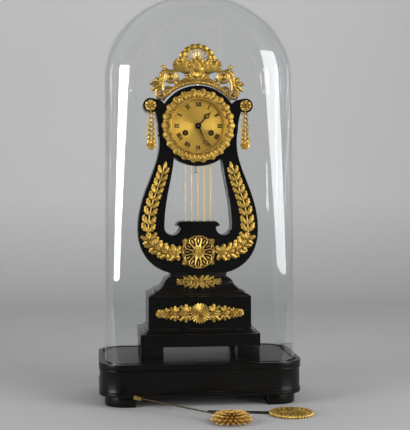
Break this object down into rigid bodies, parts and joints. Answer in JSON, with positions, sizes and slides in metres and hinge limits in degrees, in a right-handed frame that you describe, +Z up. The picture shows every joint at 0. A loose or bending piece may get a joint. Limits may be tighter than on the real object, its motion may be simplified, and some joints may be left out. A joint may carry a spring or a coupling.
{
  "type": "lyre clock under glass dome",
  "caption": "Mantel clock in a lyre-shaped ebonised wood case with gilt mounts, on a moulded base under a glass dome, with two loose pendulums in front.",
  "frame": {"origin": "on the floor under the middle of the dome's base", "axes": "+Z up, -Y towards the front, +X to the viewer's right"},
  "size_m": [0.3498, 0.3485, 0.709],
  "materials": {
    "ebonised_wood": "polished black lacquer",
    "gilt_bronze": "chased and gilded, matte and burnished",
    "brass": "lacquered",
    "blued_steel": "blued black",
    "steel": "polished",
    "glass": "clear blown glass"
  },
  "bodies": {
    "clock": {"dome_base": "ebonised_wood", "dome_base_feet": "ebonised_wood", "display_board": "ebonised_wood", "case_feet": "ebonised_wood", "pedestal_plinth": "ebonised_wood", "pedestal_block": "ebonised_wood", "pedestal_cap": "ebonised_wood", "lyre_frame": "ebonised_wood", "rear_drum": "ebonised_wood", "lyre_strings": "brass", "crest": "gilt_bronze", "bezel": "gilt_bronze", "dial": "gilt_bronze", "winding_rims": "blued_steel", "ear_rosettes": "gilt_bronze", "left_drop": "gilt_bronze", "right_drop": "gilt_bronze", "left_garland": "gilt_bronze", "right_garland": "gilt_bronze", "lyre_medallion": "gilt_bronze", "cap_mount": "gilt_bronze", "block_mount": "gilt_bronze", "front_plate": "brass", "back_plate": "brass", "plate_pillars": "brass", "pillar_nuts": "steel", "clicks": "steel", "back_cock": "brass", "bell": "brass", "bell_stand": "brass", "movement_straps": "steel", "back_ring": "brass", "strap_screws": "steel"},
    "dome": {"glass_dome": "glass"},
    "minute_hand": {"minute_hand": "blued_steel", "hand_collet": "brass", "cannon_pinion": "steel"},
    "hour_hand": {"hour_hand": "blued_steel", "hour_wheel": "brass"},
    "minute_wheel": {"minute_wheel": "brass"},
    "going_barrel": {"going_barrel": "brass"},
    "going_winding": {"going_winding_arbor": "steel"},
    "strike_barrel": {"strike_barrel": "brass"},
    "strike_winding": {"strike_winding_arbor": "steel"},
    "second_wheel": {"second_wheel": "brass"},
    "centre_wheel": {"centre_wheel": "brass"},
    "third_wheel": {"third_wheel": "brass"},
    "escape_wheel": {"escape_wheel": "brass"},
    "pin_wheel": {"pin_wheel": "brass", "count_wheel": "brass"},
    "fly": {"fly": "brass"},
    "crutch": {"anchor": "steel", "crutch": "steel"},
    "hammer": {"hammer": "steel"},
    "pendulum": {"pendulum_rod": "brass", "pendulum_hook": "brass", "pendulum_bob": "gilt_bronze"},
    "spare_pendulum": {"spare_pendulum_bar": "blued_steel", "spare_pendulum_bob": "gilt_bronze"}
  },
  "joints": [
    {"name": "dome_lift", "type": "slide", "parent": "clock", "child": "dome", "axis": [0, 0, 1], "range_m": [0, 0.6]},
    {"name": "minute_hand_turn", "type": "hinge", "parent": "clock", "child": "minute_hand", "pos_m": [0, 0, 0.4765], "axis": [0, 1, 0], "continuous": true},
    {"name": "hour_hand_turn", "type": "hinge", "parent": "clock", "child": "hour_hand", "pos_m": [0, 0, 0.4765], "axis": [0, 1, 0], "continuous": true},
    {"name": "minute_wheel_turn", "type": "hinge", "parent": "clock", "child": "minute_wheel", "pos_m": [0, 0, 0.4909], "axis": [0, 1, 0], "continuous": true},
    {"name": "third_wheel_turn", "type": "hinge", "parent": "clock", "child": "third_wheel", "pos_m": [-0.00599, 0, 0.49305], "axis": [0, 1, 0], "continuous": true},
    {"name": "escape_wheel_turn", "type": "hinge", "parent": "clock", "child": "escape_wheel", "pos_m": [0, 0, 0.5059], "axis": [0, 1, 0], "continuous": true},
    {"name": "centre_wheel_turn", "type": "hinge", "parent": "clock", "child": "centre_wheel", "pos_m": [0, 0, 0.4765], "axis": [0, 1, 0], "continuous": true},
    {"name": "second_wheel_turn", "type": "hinge", "parent": "clock", "child": "second_wheel", "pos_m": [0.01439, 0, 0.48732], "axis": [0, 1, 0], "continuous": true},
    {"name": "going_barrel_turn", "type": "hinge", "parent": "clock", "child": "going_barrel", "pos_m": [0.0225, 0, 0.4642], "axis": [0, 1, 0], "continuous": true},
    {"name": "strike_barrel_turn", "type": "hinge", "parent": "clock", "child": "strike_barrel", "pos_m": [-0.0225, 0, 0.4642], "axis": [0, 1, 0], "continuous": true},
    {"name": "pin_wheel_turn", "type": "hinge", "parent": "clock", "child": "pin_wheel", "pos_m": [-0.02675, 0, 0.48833], "axis": [0, 1, 0], "continuous": true},
    {"name": "fly_turn", "type": "hinge", "parent": "clock", "child": "fly", "pos_m": [-0.02098, 0, 0.49833], "axis": [0, 1, 0], "continuous": true},
    {"name": "going_winding_turn", "type": "hinge", "parent": "clock", "child": "going_winding", "pos_m": [0.0225, 0, 0.4642], "axis": [0, 1, 0], "continuous": true},
    {"name": "strike_winding_turn", "type": "hinge", "parent": "clock", "child": "strike_winding", "pos_m": [-0.0225, 0, 0.4642], "axis": [0, 1, 0], "continuous": true},
    {"name": "crutch_swing", "type": "hinge", "parent": "clock", "child": "crutch", "pos_m": [0, 0, 0.5179], "axis": [0, 1, 0], "range_deg": [-3.5, 3.5]},
    {"name": "hammer_lift", "type": "hinge", "parent": "clock", "child": "hammer", "pos_m": [0.034, 0, 0.4495], "axis": [0, 1, 0], "range_deg": [0, 9]},
    {"name": "pendulum_lift", "type": "slide", "parent": "clock", "child": "pendulum", "axis": [0, 0, 1], "range_m": [0, 0.2]},
    {"name": "spare_pendulum_lift", "type": "slide", "parent": "clock", "child": "spare_pendulum", "axis": [0, 0, 1], "range_m": [0, 0.2]}
  ],
  "couplings": [
    {"joint": "hour_hand_turn", "follows": "minute_hand_turn", "ratio": 0.083333},
    {"joint": "minute_wheel_turn", "follows": "minute_hand_turn", "ratio": -0.33333},
    {"joint": "escape_wheel_turn", "follows": "third_wheel_turn", "ratio": -12.5},
    {"joint": "centre_wheel_turn", "follows": "third_wheel_turn", "ratio": -0.1},
    {"joint": "second_wheel_turn", "follows": "third_wheel_turn", "ratio": 0.014286},
    {"joint": "going_barrel_turn", "follows": "third_wheel_turn", "ratio": -0.002381},
    {"joint": "pin_wheel_turn", "follows": "strike_barrel_turn", "ratio": -6},
    {"joint": "fly_turn", "follows": "strike_barrel_turn", "ratio": 60}
  ]
}
